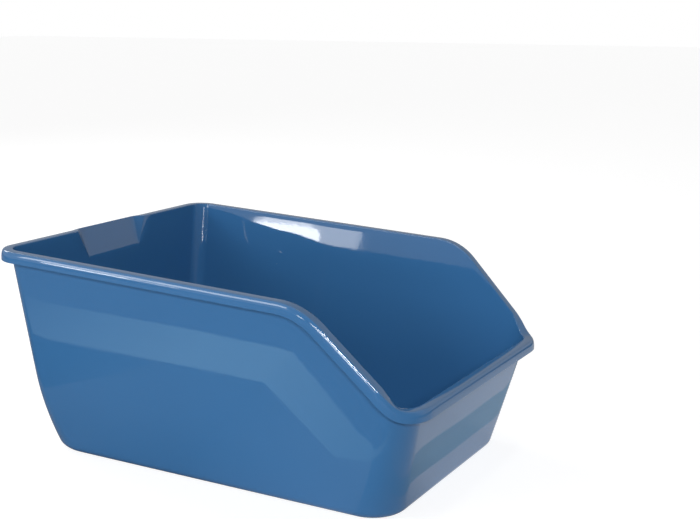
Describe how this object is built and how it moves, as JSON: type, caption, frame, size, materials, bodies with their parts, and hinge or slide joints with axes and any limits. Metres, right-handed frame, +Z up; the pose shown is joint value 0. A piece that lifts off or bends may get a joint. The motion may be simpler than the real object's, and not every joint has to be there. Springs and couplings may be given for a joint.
{
  "type": "high-back litter pan",
  "caption": "Open moulded litter pan with leaning walls, a high back, sides that slope down to a low front for stepping in, a turned-down rim and a grip recess inside the back wall.",
  "frame": {"origin": "on the floor plane under the middle of the overall box", "axes": "+X points from the high back to the low front, +Y points to the left side seen from behind, +Z points up"},
  "size_m": [0.45, 0.336, 0.213],
  "materials": {
    "blue_plastic": "glossy moulded plastic with a faint flow ripple and light handling marks"
  },
  "bodies": {
    "root": {"pan": "blue_plastic"}
  },
  "joints": []
}
